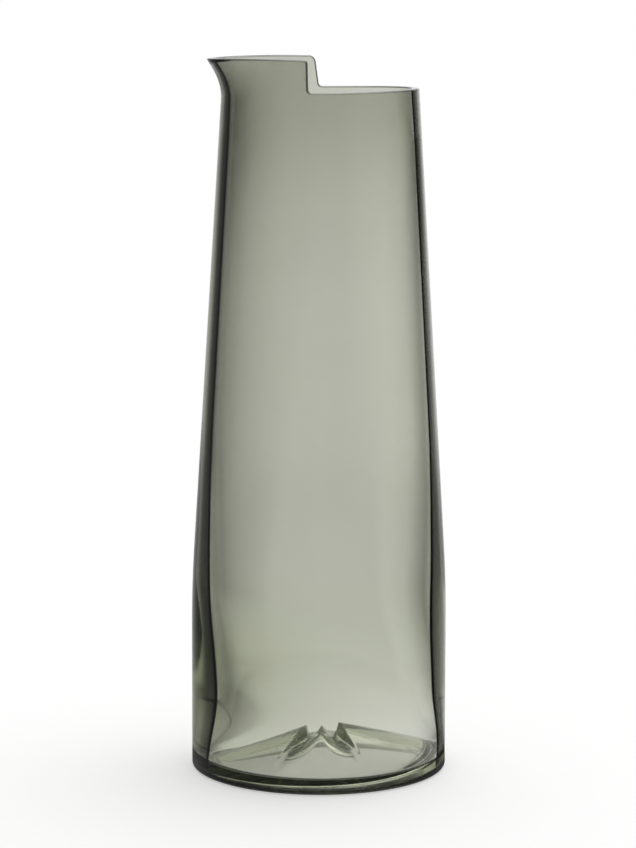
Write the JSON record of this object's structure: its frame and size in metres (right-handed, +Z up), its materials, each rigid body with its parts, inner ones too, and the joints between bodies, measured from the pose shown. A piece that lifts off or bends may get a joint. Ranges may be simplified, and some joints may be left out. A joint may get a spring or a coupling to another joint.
{
  "type": "water carafe",
  "caption": "Smoke-glass water carafe: straight foot, tapering body, rim cut in a step with a pinched spout on its high half, and a pushed-up base with two folds beside its middle.",
  "frame": {"origin": "centre of the base, on the plane that the carafe stands on", "axes": "+Z up along the body's axis, the spout towards -X, the side that the picture shows towards -Y"},
  "size_m": [0.1008, 0.1008, 0.28],
  "materials": {
    "smoke_glass": "clear, fire-polished smoke-grey glass with a green cast"
  },
  "bodies": {
    "root": {"glass_body": "smoke_glass"}
  },
  "joints": []
}
